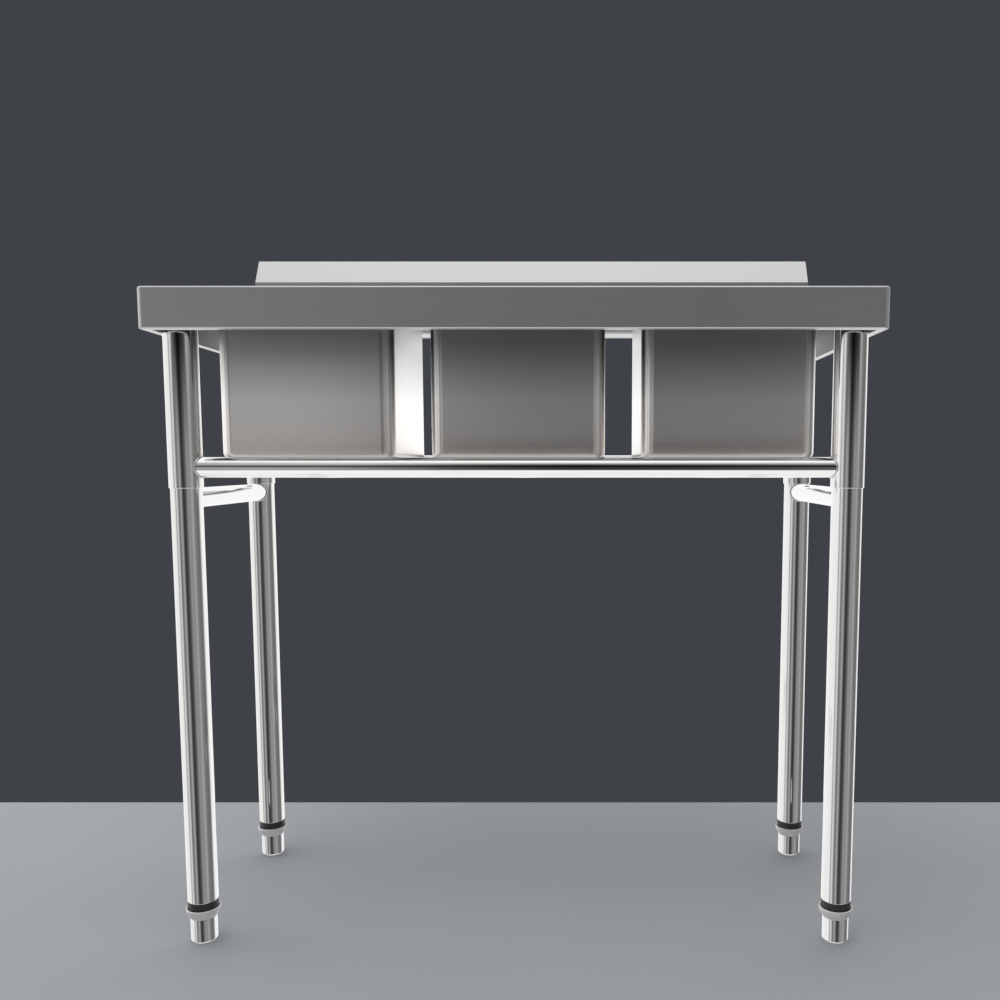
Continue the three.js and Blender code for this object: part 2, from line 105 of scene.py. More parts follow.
def rounded(points, closed=False, steps=4):
    """An outline with its corners rounded. Each point is (u, v) or (u, v, corner radius)."""
    result = []
    count = len(points)
    for i, point in enumerate(points):
        here = Vector(point[:2])
        radius = point[2] if len(point) > 2 else 0
        at_end = not closed and i in (0, count - 1)
        if radius <= 0 or at_end:
            result.append(tuple(here))
            continue
        back = (Vector(points[i - 1][:2]) - here).normalized()
        ahead = (Vector(points[(i + 1) % count][:2]) - here).normalized()
        half = back.angle(ahead) / 2
        reach = radius / math.tan(half)
        middle = here + (back + ahead).normalized() * radius / math.sin(half)
        first = here + back * reach - middle
        last = here + ahead * reach - middle
        sweep = first.angle_signed(last)
        for k in range(steps + 1):
            turn = Matrix.Rotation(-sweep * k / steps, 2)
            result.append(tuple(middle + turn @ first))
    return result


def lathe_loops(outline, centre=(0, 0), sides=TURN_STEPS):
    """One closed loop round a vertical axis for each (radius, z) of an outline."""
    loops = []
    for radius, z in outline:
        loop = []
        for i in range(sides):
            angle = 2 * PI * i / sides
            x = centre[0] + radius * math.cos(angle)
            y = centre[1] + radius * math.sin(angle)
            loop.append(Vector((x, y, z)))
        loops.append(loop)
    return loops


def lathe(name, outline, centre, ring=False, sides=TURN_STEPS):
    """A turned piece. A ring's outline closes on itself; otherwise its ends are capped."""
    bm = bmesh.new()
    skin(bm, lathe_loops(outline, centre, sides), ring=ring, caps=(not ring, not ring))
    return new_object(name, bm)


def level_loop(half_x, half_y, radius, z, centre=(0, 0), steps=CORNER_STEPS):
    """A rounded rectangle at height z."""
    loop = []
    for corner in range(4):
        sx = 1 if corner in (0, 3) else -1
        sy = 1 if corner < 2 else -1
        for step in range(steps + 1):
            angle = (corner + step / steps) * PI / 2
            x = centre[0] + sx * (half_x - radius) + radius * math.cos(angle)
            y = centre[1] + sy * (half_y - radius) + radius * math.sin(angle)
            loop.append(Vector((x, y, z)))
    return loop


def evaluated(obj):
    """The object's mesh with its modifiers applied."""
    graph = bpy.context.evaluated_depsgraph_get()
    return bpy.data.meshes.new_from_object(obj.evaluated_get(graph))


def apply_modifiers(obj):
    mesh = evaluated(obj)
    obj.modifiers.clear()
    obj.data = mesh
    mesh.shade_smooth()
    mesh.set_sharp_from_angle(angle=SHARP)
    return obj


def carve(obj, cutters):
    """Cuts the cutters out of obj and deletes them."""
    for cutter in cutters:
        cut = obj.modifiers.new("cut", "BOOLEAN")
        cut.operation = "DIFFERENCE"
        cut.solver = "EXACT"
        cut.object = cutter
    bpy.context.view_layer.update()
    apply_modifiers(obj)
    for cutter in cutters:
        bpy.data.objects.remove(cutter)
    return obj


def soften_edges(obj, width, segments=3, angle=35):
    """Bevels the edges that turn more than an angle in degrees."""
    bevel = obj.modifiers.new("edges", "BEVEL")
    bevel.width = width
    bevel.segments = segments
    bevel.limit_method = "ANGLE"
    bevel.angle_limit = math.radians(angle)
    bpy.context.view_layer.update()
    return apply_modifiers(obj)


def settle_shading(obj):
    """Wide faces are shaded flat, and only the bends between them are shaded round."""
    weighted = obj.modifiers.new("shading", "WEIGHTED_NORMAL")
    weighted.mode = "FACE_AREA"
    weighted.weight = 50
    weighted.keep_sharp = True
    bpy.context.view_layer.update()
    mesh = evaluated(obj)
    obj.modifiers.clear()
    obj.data = mesh


def join_objects(name, objects):
    """Several objects as one piece."""
    bm = bmesh.new()
    for obj in objects:
        copy = obj.data.copy()
        copy.transform(obj.matrix_world)
        bm.from_mesh(copy)
        bpy.data.meshes.remove(copy)
        bpy.data.objects.remove(obj)
    mesh = bpy.data.meshes.new(name)
    bm.to_mesh(mesh)
    bm.free()
    return object_of(name, mesh)


def block(name, low, high, bevel=0.0):
    """A box between two corners, with softened edges where a bevel is given."""
    bm = bmesh.new()
    bmesh.ops.create_cube(bm, size=1)
    size = Vector(high) - Vector(low)
    middle = (Vector(high) + Vector(low)) / 2
    for vert in bm.verts:
        vert.co = Vector(a * b + c for a, b, c in zip(vert.co, size, middle))
    obj = new_object(name, bm)
    return soften_edges(obj, bevel) if bevel else obj


def extruded(name, outline, x0, x1):
    """A (y, z) outline extruded along X."""
    bm = bmesh.new()
    loops = [[Vector((x, y, z)) for y, z in outline] for x in (x0, x1)]
    skin(bm, loops, caps=(True, True))
    return new_object(name, bm)


def sheet_outline(face, thickness):
    """The closed outline of a sheet whose face is a list of points, its thickness on the right."""
    back = []
    for i, point in enumerate(face):
        before = Vector(face[max(i - 1, 0)])
        after = Vector(face[min(i + 1, len(face) - 1)])
        along = (after - before).normalized()
        back.append((point[0] + along.y * thickness, point[1] - along.x * thickness))
    return list(face) + back[::-1]


def thread_rod(outline_radius, pitch, z0, z1, depth):
    """Outline of a shallow round thread along a rod, as (radius, z) pairs."""
    points = []
    turns = int((z1 - z0) / pitch)
    for i in range(turns):
        z = z0 + i * pitch
        points.append((outline_radius - depth, z))
        points.append((outline_radius, z + pitch * 0.4))
        points.append((outline_radius, z + pitch * 0.6))
    points.append((outline_radius - depth, z0 + turns * pitch))
    return points


# ---------------------------------------------------------------- sizes from the frame

def centre_of(node):
    low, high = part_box(node)
    return (low + high) / 2


deck_low, deck_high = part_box("deck")
RIM_Z = deck_high.z
APRON_Z = deck_low.z
HALF_WIDTH = deck_high.x
FRONT_Y = deck_low.y
DECK_Z = RIM_Z - 5 * MM
RIM_WIDTH = 12 * MM
RIM_SLOPE = 6 * MM
APRON_LIP = 12.5 * MM
SHEET_BEND = 2.2 * MM
APRON_CORNER = 7 * MM

splash_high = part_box("backsplash")[1]
REAR_Y = splash_high.y
TOP_Z = splash_high.z
SPLASH_Y = REAR_Y - 26 * MM
SPLASH_LEAN = math.radians(33.5)
SPLASH_BEND_Z = TOP_Z - 37.5 * MM
SPLASH_RETURN = 9 * MM
COVE_RADIUS = 8 * MM

bowl_low, bowl_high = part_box("bowl_middle")
BOWL_FLANGE = 5 * MM
BOWL_HALF_X = (bowl_high.x - bowl_low.x) / 2 - BOWL_FLANGE
BOWL_HALF_Y = (bowl_high.y - bowl_low.y) / 2 - BOWL_FLANGE
BOWL_CORNER = 17 * MM
BOWL_FILLET = 8 * MM
BOWL_FALL = 3 * MM
BOWL_EDGE_BEND = 3 * MM
DISH_RADIUS = 47 * MM
DISH_SLOPE = 5 * MM
DISH_DEPTH = 4 * MM
DISH_HOLE = 31 * MM
DISH_Z = bowl_low.z  # underside of the dish, the lowest part of a bowl
BOWL_FLOOR_Z = DISH_Z + DISH_DEPTH + BOWL_FALL  # underside of the fillet

TUBE_WALL = 1.2 * MM
SLEEVE_WALL = 1.2 * MM
SLEEVE_RADIUS = (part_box("leg_sleeve_front_left")[1].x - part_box("leg_sleeve_front_left")[0].x) / 2
LEG_RADIUS = (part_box("leg_tube_front_left")[1].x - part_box("leg_tube_front_left")[0].x) / 2
RAIL_RADIUS = (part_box("front_rail")[1].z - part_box("front_rail")[0].z) / 2


# ---------------------------------------------------------------- materials

class Surface:
    """A node material built round one Principled shader."""

    def __init__(self, name):
        self.material = bpy.data.materials.new(name)
        self.material.use_nodes = True
        self.tree = self.material.node_tree
        self.shader = self.tree.nodes["Principled BSDF"]
        self.place = self.node("ShaderNodeTexCoord").outputs["Object"]

    def node(self, kind, **settings):
        made = self.tree.nodes.new(kind)
        for key, value in settings.items():
            setattr(made, key, value)
        return made

    def link(self, source, target):
        self.tree.links.new(source, target)

    def set(self, **values):
        names = {
            "metallic": "Metallic",
            "roughness": "Roughness",
            "specular": "Specular IOR Level",
            "anisotropic": "Anisotropic",
            "anisotropic_turn": "Anisotropic Rotation",
        }
        for key, value in values.items():
            self.shader.inputs[names[key]].default_value = value

    def noise(self, stretch, scale, detail):
        """Noise stretched by a factor along each axis."""
        mapping = self.node("ShaderNodeMapping")
        mapping.inputs["Scale"].default_value = stretch
        self.link(self.place, mapping.inputs["Vector"])
        noise = self.node("ShaderNodeTexNoise")
        noise.inputs["Scale"].default_value = scale
        noise.inputs["Detail"].default_value = detail
        noise.inputs["Roughness"].default_value = 0.55
        self.link(mapping.outputs["Vector"], noise.inputs["Vector"])
        return noise.outputs["Fac"]

    def spread(self, value, low, high, start=0.3, stop=0.7):
        """Maps a 0-1 value to a range."""
        ranged = self.node("ShaderNodeMapRange")
        ranged.inputs["From Min"].default_value = start
        ranged.inputs["From Max"].default_value = stop
        ranged.inputs["To Min"].default_value = low
        ranged.inputs["To Max"].default_value = high
        self.link(value, ranged.inputs["Value"])
        return ranged.outputs["Result"]

    def mix(self, factor, first, second):
        mixed = self.node("ShaderNodeMix", data_type="RGBA")
        self.link(factor, mixed.inputs["Factor"])
        for socket, colour in ((mixed.inputs[6], first), (mixed.inputs[7], second)):
            if isinstance(colour, tuple):
                socket.default_value = (*colour, 1)
            else:
                self.link(colour, socket)
        return mixed.outputs[2]

    def add(self, first, second):
        total = self.node("ShaderNodeMath", operation="ADD")
        self.link(first, total.inputs[0])
        self.link(second, total.inputs[1])
        return total.outputs[0]

    def scaled(self, value, factor):
        product = self.node("ShaderNodeMath", operation="MULTIPLY")
        self.link(value, product.inputs[0])
        product.inputs[1].default_value = factor
        return product.outputs[0]

    def colour(self, output):
        self.link(output, self.shader.inputs["Base Color"])

    def rough(self, output):
        self.link(output, self.shader.inputs["Roughness"])

    def bump(self, height, strength, distance):
        bump = self.node("ShaderNodeBump")
        bump.inputs["Strength"].default_value = strength
        bump.inputs["Distance"].default_value = distance
        self.link(height, bump.inputs["Height"])
        self.link(bump.outputs["Normal"], self.shader.inputs["Normal"])


def brushed_steel(name, light, dark, roughness, grain, bump, metallic, wear):
    """Stainless sheet with a fine grain, which runs along the axis with the small stretch.

    Its roughness varies by the wear to both sides.
    """
    s = Surface(name)
    s.set(metallic=metallic)
    fine = s.noise(grain, 700, 3)
    broad = s.noise((1, 1, 1), 5.5, 5)
    tone = s.add(s.scaled(fine, 0.45), s.scaled(broad, 0.55))
    s.colour(s.mix(s.spread(tone, 0, 1, 0.35, 0.65), dark, light))
    s.rough(s.spread(tone, roughness - wear, roughness + wear, 0.35, 0.65))
    s.bump(fine, bump, 0.00004)
    return s


def sheet_steel():
    light, dark = (0.63, 0.64, 0.63), (0.615, 0.625, 0.615)
    return brushed_steel(
        "sheet_steel", light, dark,
        roughness=0.38, grain=(0.02, 1, 1), bump=0.03, metallic=0.80, wear=0.015,
    )


def shaded_underside_steel():
    """The rough unpolished mill finish inside the aprons, its colour darkened as painted shade under the
    deck.
    """
    light, dark = (0.28, 0.28, 0.28), (0.22, 0.22, 0.225)
    return brushed_steel(
        "shaded_underside_steel", light, dark,
        roughness=0.52, grain=(0.1, 1, 1), bump=0.15, metallic=0.9, wear=0.055,
    )


def bowl_steel(name, apron_shade_tone):
    """Pressed bowls of satin steel, faintly warm towards the floor, with painted shade near the apron in the
    given tone, and a bottom fillet darkened as painted shade.
    """
    light, dark = (0.96, 0.96, 0.95), (0.94, 0.94, 0.93)
    s = brushed_steel(
        name, light, dark,
        roughness=0.30, grain=(3, 3, 0.08), bump=0.01, metallic=0.95, wear=0.01,
    )
    s.set(anisotropic=0.97, anisotropic_turn=0.25)
    parts = s.node("ShaderNodeSeparateXYZ")
    s.link(s.place, parts.inputs[0])
    warm_top = bowl_low.z + 0.55 * (bowl_high.z - bowl_low.z)
    height = s.spread(parts.outputs["Z"], 1, 0, bowl_low.z, warm_top)
    cool = s.shader.inputs["Base Color"].links[0].from_socket
    warm = s.mix(s.scaled(height, 0.8), cool, (0.96, 0.885, 0.84))
    # Painted shade: towards the apron the colour turns to the shade tone, standing in for the apron's dark
    # inside mirrored in the bowl.
    apron_shade = s.spread(parts.outputs["Z"], 0, 1, APRON_Z - 80 * MM, APRON_Z - 8 * MM)
    apron_shaded = s.mix(apron_shade, warm, apron_shade_tone)
    # Painted shade: the bottom fillet is darkened, which dims the bright floor mirrored along it.
    fillet = s.spread(parts.outputs["Z"], 1, 0, BOWL_FLOOR_Z + 2 * MM, BOWL_FLOOR_Z + BOWL_FILLET)
    s.colour(s.mix(fillet, apron_shaded, (0.50, 0.48, 0.465)))
    return s


def polished_steel(name, colour, roughness, grain):
    """Bright tube or turned steel with faint drawing lines and fine wear."""
    s = Surface(name)
    s.set(metallic=1.0)
    lines = s.noise(grain, 420, 2)
    cloud = s.noise((1, 1, 1), 9, 5)
    dull = tuple(c * 0.93 for c in colour)
    s.colour(s.mix(s.spread(lines, 0, 1), dull, colour))
    tone = s.add(s.scaled(lines, 0.5), s.scaled(cloud, 0.5))
    s.rough(s.spread(tone, roughness * 0.75, roughness * 1.35, 0.35, 0.65))
    s.bump(lines, 0.05, 0.00002)
    return s


def moulded_plastic(name, colour):
    s = Surface(name)
    grain = s.noise((1, 1, 1), 1800, 2)
    cloud = s.noise((1, 1, 1), 60, 4)
    lighter = tuple(min(1, c * 1.6 + 0.012) for c in colour)
    s.colour(s.mix(s.spread(cloud, 0, 1), colour, lighter))
    s.rough(s.spread(grain, 0.42, 0.58))
    s.bump(grain, 0.2, 0.00005)
    return s


def soft_rubber():
    s = Surface("rubber")
    grain = s.noise((1, 1, 1), 900, 3)
    cloud = s.noise((1, 1, 1), 45, 4)
    s.colour(s.mix(s.spread(cloud, 0, 1), (0.022, 0.022, 0.023), (0.05, 0.05, 0.052)))
    s.rough(s.spread(grain, 0.68, 0.85))
    s.bump(grain, 0.3, 0.00008)
    return s


def satin_bead():
    """The foot's pale bead: a satin, slightly rosy coat with fine scuffs."""
    s = Surface("foot_bead")
    s.set(metallic=0.1)
    scuff = s.noise((1, 1, 0.2), 260, 4)
    cloud = s.noise((1, 1, 1), 50, 4)
    s.colour(s.mix(s.spread(cloud, 0, 1), (0.76, 0.72, 0.74), (0.82, 0.785, 0.80)))
    s.rough(s.spread(scuff, 0.38, 0.52))
    s.bump(scuff, 0.12, 0.00004)
    return s


def weld_steel():
    """Ground weld beads: a rougher steel with a faint straw tint."""
    s = Surface("weld_steel")
    s.set(metallic=1.0)
    spots = s.noise((1, 1, 1), 380, 4)
    s.colour(s.mix(s.spread(spots, 0, 1), (0.66, 0.64, 0.61), (0.80, 0.80, 0.79)))
    s.rough(s.spread(spots, 0.28, 0.42))
    s.bump(spots, 0.25, 0.0001)
    return s


TUBE_TONE = (0.84, 0.84, 0.835)
TUBE_ROUGHNESS = 0.07
STEEL = {
    "sheet": sheet_steel().material,
    "underside": shaded_underside_steel().material,
    "bowl": bowl_steel("bowl_steel", (0.95, 0.95, 0.94)).material,
    # The bowls' outsides darken near the apron: painted shade.
    "bowl_outside_shaded": bowl_steel("bowl_steel_outside_shaded", (0.43, 0.43, 0.425)).material,
    "tube_z": polished_steel("tube_steel_upright", TUBE_TONE, TUBE_ROUGHNESS, (1, 1, 0.02)).material,
    "tube_x": polished_steel("tube_steel_across", TUBE_TONE, TUBE_ROUGHNESS, (0.02, 1, 1)).material,
    "tube_y": polished_steel("tube_steel_along", TUBE_TONE, TUBE_ROUGHNESS, (1, 0.02, 1)).material,
    "turned": polished_steel("turned_steel", (0.80, 0.80, 0.80), 0.15, (0.3, 0.3, 1)).material,
    "foot": polished_steel("foot_steel", (0.82, 0.82, 0.82), 0.08, (1, 1, 0.03)).material,
    "bead": satin_bead().material,
    "weld": weld_steel().material,
}
PLASTIC = moulded_plastic("insert_plastic", (0.012, 0.011, 0.014)).material
NUT_PLASTIC = moulded_plastic("nut_plastic", (0.03, 0.03, 0.032)).material
RUBBER = soft_rubber().material


def dress(obj, body, slot, material, *nodes):
    """Settles a piece's shading, gives it its material and its body, and hides the CAD nodes it stands for.
    """
    settle_shading(obj)
    if material is not None:
        obj.data.materials.clear()
        obj.data.materials.append(material)
    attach(obj, body)
    if nodes:
        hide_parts(*nodes)
    return obj


# ---------------------------------------------------------------- sheet top

def deck_section():
    """(inset, z) pairs of the folded top, from the deck's top round the apron to its underside."""
    r = SHEET_BEND
    slope_foot = RIM_WIDTH + RIM_SLOPE
    soft = 2.5 * MM
    outer = rounded([
        (slope_foot + 30 * MM, DECK_Z),
        (slope_foot, DECK_Z, soft),
        (RIM_WIDTH, RIM_Z, soft),
        (r, RIM_Z),
    ])
    outer += arc(r, RIM_Z - r, r, PI / 2, PI)[1:]
    outer += arc(r, APRON_Z + r, r, PI, 1.5 * PI)
    outer += [(APRON_LIP - 0.4 * MM, APRON_Z), (APRON_LIP, APRON_Z + 0.4 * MM)]
    inner = [(APRON_LIP, APRON_Z + SHEET - 0.4 * MM), (APRON_LIP - 0.4 * MM, APRON_Z + SHEET)]
    inner += arc(r, APRON_Z + r, r - SHEET, 1.5 * PI, PI)
    inner += arc(r, RIM_Z - r, r - SHEET, PI, PI / 2)
    inner += rounded([
        (r, RIM_Z - SHEET),
        (RIM_WIDTH - 0.4 * MM, RIM_Z - SHEET, soft),
        (slope_foot - 0.4 * MM, DECK_Z - SHEET, soft),
        (slope_foot + 30 * MM, DECK_Z - SHEET),
    ])[1:]
    return outer + inner


def inside_apron(face):
    """Whether a face of the deck is on the inner side of an apron or on top of its lip."""
    c, n = face.center, face.normal
    in_front = c.y < FRONT_Y + APRON_LIP
    at_side = abs(c.x) > HALF_WIDTH - APRON_LIP
    if c.z > DECK_Z - 0.5 * MM or not (in_front or at_side):
        return False
    on_lip = c.z < APRON_Z + SHEET_BEND and n.z > 0.1
    return on_lip or (in_front and n.y > 0.3) or (at_side and c.x * n.x < -0.1)


def make_deck():
    """The folded top with its aprons, open at the back and over the bowls."""
    spare = 80 * MM  # behind the backsplash, cut off again below
    half_y = (REAR_Y - FRONT_Y + spare) / 2
    centre = (0, FRONT_Y + half_y)
    loops = []
    for inset, z in deck_section():
        radius = max(APRON_CORNER - inset, 0.6 * MM)
        loops.append(level_loop(HALF_WIDTH - inset, half_y - inset, radius, z, centre, 8))
    bm = bmesh.new()
    skin(bm, loops, caps=(True, True))
    deck = new_object("deck_top", bm)
    inside = HALF_WIDTH - RIM_WIDTH - RIM_SLOPE
    cove_y = SPLASH_Y - COVE_RADIUS - 2 * MM
    reach_y = REAR_Y + 2 * spare
    low_z, high_z = DECK_Z - 20 * MM, DECK_Z + 20 * MM
    cutters = [
        block("cut_rear", (-1, SPLASH_Y - 0.05 * MM, APRON_Z - spare), (1, reach_y, TOP_Z)),
        block("cut_cove", (-inside, cove_y - 0.02 * MM, low_z), (inside, reach_y, high_z)),
    ]
    reach = BOWL_FLANGE + 0.05 * MM
    for place in PLACES:
        c = centre_of("bowl_" + place)
        bm = bmesh.new()
        skin(bm, [
            level_loop(BOWL_HALF_X + reach, BOWL_HALF_Y + reach, BOWL_CORNER + reach, z, (c.x, c.y))
            for z in (high_z, low_z)
        ], caps=(True, True))
        cutters.append(new_object("cut_bowl_" + place, bm))
    carve(deck, cutters)
    deck.data.materials.clear()
    deck.data.materials.append(STEEL["sheet"])
    deck.data.materials.append(STEEL["underside"])
    # Faces inside the aprons take the darker steel, which paints shade under the deck.
    for face in deck.data.polygons:
        face.material_index = 1 if inside_apron(face) else 0
    dress(deck, "sink", "sheet_steel", None, "deck")


def make_backsplash():
    """The upright sheet with its leaning ledge and rear return, and the cove at its foot."""
    r = 3 * MM
    lean = SPLASH_LEAN
    bend_start = SPLASH_BEND_Z - r * math.tan(lean / 2)
    crest = (REAR_Y - r, TOP_Z - r)
    face = [(SPLASH_Y, DECK_Z - SHEET)]
    face += arc(SPLASH_Y + r, bend_start, r, PI, PI - lean)
    face += arc(*crest, r, PI - lean, 0, 10)
    face += [(REAR_Y, TOP_Z - SPLASH_RETURN)]
    upright = extruded("backsplash_sheet", sheet_outline(face, SHEET), -HALF_WIDTH, HALF_WIDTH)
    cove_y = SPLASH_Y - COVE_RADIUS
    half = HALF_WIDTH - RIM_WIDTH - RIM_SLOPE - 0.05 * MM
    cove = [(cove_y - 2 * MM, DECK_Z)]
    cove += arc(cove_y, DECK_Z + COVE_RADIUS, COVE_RADIUS, -PI / 2, 0, 10)
    cove += [(SPLASH_Y, DECK_Z + COVE_RADIUS + 2 * MM)]
    strip = extruded("backsplash_cove", sheet_outline(cove, SHEET * 0.9), -half, half)
    soften_edges(upright, 0.35 * MM, 2, 50)
    splash = join_objects("backsplash_panel", [upright, strip])
    dress(splash, "sink", "sheet_steel", STEEL["sheet"], "backsplash")


def make_stiffener(node):
    """A hat channel with soft bends under the deck."""
    low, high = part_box(node)
    foot, t = 8 * MM, SHEET
    r = 1.4 * MM
    y0, y1, z0, z1 = low.y, high.y, low.z, high.z
    inner = [
        (y0, z1), (y0 + foot, z1, r), (y0 + foot + t, z0 + t, r),
        (y1 - foot - t, z0 + t, r), (y1 - foot, z1, r), (y1, z1),
    ]
    face = rounded(inner)
    outline = sheet_outline(face, t)
    channel = extruded(node + "_channel", outline, low.x, high.x)
    dress(channel, "sink", "sheet_steel", STEEL["sheet"], node)


# ---------------------------------------------------------------- bowls

def bowl_loops(centre):
    """The bowl's outline as closed loops: down its outside, out of the dish and up its inside."""
    r, edge = BOWL_FILLET, BOWL_EDGE_BEND
    top = DECK_Z
    edge_z = top - SHEET - edge
    floor = BOWL_FLOOR_Z

    def walls(pairs):
        return [
            level_loop(BOWL_HALF_X - i, BOWL_HALF_Y - i, BOWL_CORNER - i, z, centre)
            for i, z in pairs
        ]

    def dish(z):
        """Circles with as many points as the walls' loops, whose straight sides are mere stubs."""
        stub = 0.01 * MM
        slope = rounded([
            (DISH_RADIUS + DISH_SLOPE + 8 * MM, z + 0.25 * MM),
            (DISH_RADIUS + DISH_SLOPE, z, 2 * MM),
            (DISH_RADIUS, z - DISH_DEPTH, 2 * MM),
            (DISH_HOLE, z - DISH_DEPTH),
        ])
        return [level_loop(q + stub, q + stub, q, h, centre) for q, h in slope]

    outside = walls([(-BOWL_FLANGE, top - SHEET)] + arc(-edge, edge_z, edge, PI / 2, 0))
    outside += walls([(0, edge_z - (edge_z - floor) * k / 3) for k in (1, 2)])
    outside += walls(arc(r, floor + r, r, PI, 1.5 * PI, 8))
    inside = walls(arc(r, floor + r, r - SHEET, 1.5 * PI, PI, 8))
    inside += walls([(SHEET, floor + (edge_z - floor) * k / 3) for k in (1, 2)])
    inside += walls(arc(-edge, edge_z, edge + SHEET, 0, PI / 2) + [(-BOWL_FLANGE, top)])
    z = floor - BOWL_FALL
    return outside + dish(z) + dish(z + SHEET)[::-1] + inside


def make_bowl(place):
    """A bowl with its dish, whose outside has painted shade near the apron."""
    c = centre_of("bowl_" + place)
    bm = bmesh.new()
    skin(bm, bowl_loops((c.x, c.y)), ring=True)
    bowl = new_object("bowl_shell_" + place, bm)
    bowl.data.materials.append(STEEL["bowl"])
    bowl.data.materials.append(STEEL["bowl_outside_shaded"])
    # Outward faces take the steel with the painted shade near the apron.
    for face in bowl.data.polygons:
        outwards = Vector((face.center.x - c.x, face.center.y - c.y, 0))
        face.material_index = 1 if outwards.dot(face.normal) > 0 else 0
    dress(bowl, "sink", "bowl_steel", None, "bowl_" + place)


# ---------------------------------------------------------------- wastes

CUP_RADIUS = 29.5 * MM
OUTLET_RADIUS = 19 * MM
OUTLET_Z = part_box("waste_body_middle")[0].z
SEAT_Z = OUTLET_Z + 6.5 * MM
BASKET_RADIUS = 26.5 * MM


def make_waste_body(place, centre):
    """The flanged cup with its outer thread, down to the outlet."""
    wall = 1.5 * MM
    inner = CUP_RADIUS - wall
    flange_z = DISH_Z + SHEET + GAP
    flange = DISH_RADIUS - 2 * MM
    bore = OUTLET_RADIUS - 2 * MM
    threads = thread_rod(CUP_RADIUS, 1.6 * MM, SEAT_Z, flange_z - 2.2 * MM, 0.45 * MM)
    outline = [
        (bore, OUTLET_Z), (OUTLET_RADIUS - 0.5 * MM, OUTLET_Z), (OUTLET_RADIUS, OUTLET_Z + 0.5 * MM),
        (OUTLET_RADIUS, SEAT_Z - wall), (CUP_RADIUS - 1 * MM, SEAT_Z - wall), *threads,
        (CUP_RADIUS, flange_z), (flange, flange_z),
    ]
    outline += rounded([
        (flange, flange_z + 0.1 * MM), (flange, flange_z + 0.9 * MM, 0.5 * MM),
        (flange - 2 * MM, flange_z + 2 * MM, 1.2 * MM), (inner + 3.2 * MM, flange_z + 1.9 * MM, 1.5 * MM),
        (inner, flange_z - 1.2 * MM, 1 * MM), (inner, SEAT_Z, 1.5 * MM), (bore, SEAT_Z, 0.6 * MM),
        (bore, OUTLET_Z + 0.3 * MM),
    ])
    body = lathe("waste_cup_" + place, outline, centre, ring=True)
    dress(body, "sink", "turned_steel", STEEL["turned"], "waste_body_" + place)


def make_gasket(place, centre):
    low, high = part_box("waste_gasket_" + place)
    outer = (high.x - low.x) / 2
    inner = CUP_RADIUS + GAP
    r = 0.8 * MM
    outline = rounded([
        (inner, low.z, r), (outer, low.z, r), (outer, high.z, r), (inner, high.z, r),
    ], closed=True)
    gasket = lathe("waste_ring_" + place, outline, centre, ring=True)
    dress(gasket, "sink", "gasket_rubber", RUBBER, "waste_gasket_" + place)


def make_nut(place, centre):
    """A ring nut with eight lugs."""
    low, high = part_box("waste_nut_" + place)
    lugs, steps = 8, 6
    outer = []
    for i in range(lugs):
        for radius, start, stop in ((38 * MM, 0, 0.5), (42 * MM, 0.56, 0.94)):
            for k in range(steps + 1):
                share = start + (stop - start) * k / steps
                outer.append((radius, 2 * PI * (i + share) / lugs))
    bore = CUP_RADIUS + GAP

    def loop(radii, z):
        return [Vector((centre[0] + r * math.cos(a), centre[1] + r * math.sin(a), z)) for r, a in radii]

    inner = [(bore, angle) for _, angle in outer]
    bm = bmesh.new()
    skin(bm, [loop(inner, low.z), loop(outer, low.z), loop(outer, high.z), loop(inner, high.z)], ring=True)
    nut = soften_edges(new_object("waste_ring_nut_" + place, bm), 0.6 * MM, 2, 50)
    dress(nut, "sink", "nut_plastic", NUT_PLASTIC, "waste_nut_" + place)


def slot_cutter(length, place, angle):
    """An oblong hole's cutter, made along X, put where place says and turned round the axis."""
    width, height = 2.2 * MM, 6 * MM
    bm = bmesh.new()
    half = length / 2 - width / 2
    ends = arc(half, 0, width / 2, -PI / 2, PI / 2, 8) + arc(-half, 0, width / 2, PI / 2, 1.5 * PI, 8)
    skin(bm, [[Vector((x, y, z)) for x, y in ends] for z in (-height / 2, height / 2)], caps=(True, True))
    for vert in bm.verts:
        vert.co = Matrix.Rotation(angle, 3, "Z") @ place(vert.co)
    return new_object("cut_slot", bm)


def make_basket(place, centre):
    """A pressed cup with a wide rim, slots in its floor and wall and a hole for the stopper."""
    low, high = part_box("strainer_basket_" + place)
    sheet = 1 * MM
    r, floor, rim = BASKET_RADIUS, low.z, high.z - 1 * MM
    hole, outer = 4.6 * MM, r + 7 * MM
    outline = rounded([
        (hole, floor), (r, floor, 3 * MM), (r, rim, 0.8 * MM), (outer, rim, 0.3 * MM),
        (outer, rim + sheet, 0.3 * MM), (r - sheet, rim + sheet, 1.6 * MM),
        (r - sheet, floor + sheet, 2 * MM), (hole, floor + sheet),
    ])
    cup = lathe("strainer_cup_" + place, outline, (0, 0), ring=True)
    slot_radius, slot_z = 15 * MM, (floor + rim) / 2 + 0.6 * MM

    def in_floor(p):
        return p + Vector((slot_radius, 0, floor))

    def in_wall(p):
        return Vector((p.z + r, p.y, p.x + slot_z))

    floor_slots, wall_slots = 12, 16
    cutters = []
    for i in range(floor_slots):
        cutters.append(slot_cutter(11 * MM, in_floor, 2 * PI * i / floor_slots))
    for i in range(wall_slots):
        cutters.append(slot_cutter(5.6 * MM, in_wall, 2 * PI * (i + 0.5) / wall_slots))
    cutter = join_objects("slots", cutters)
    carve(cup, [cutter])
    cup.data.transform(Matrix.Translation((*centre, 0)))
    dress(cup, "basket_" + place, "turned_steel", STEEL["turned"], "strainer_basket_" + place)


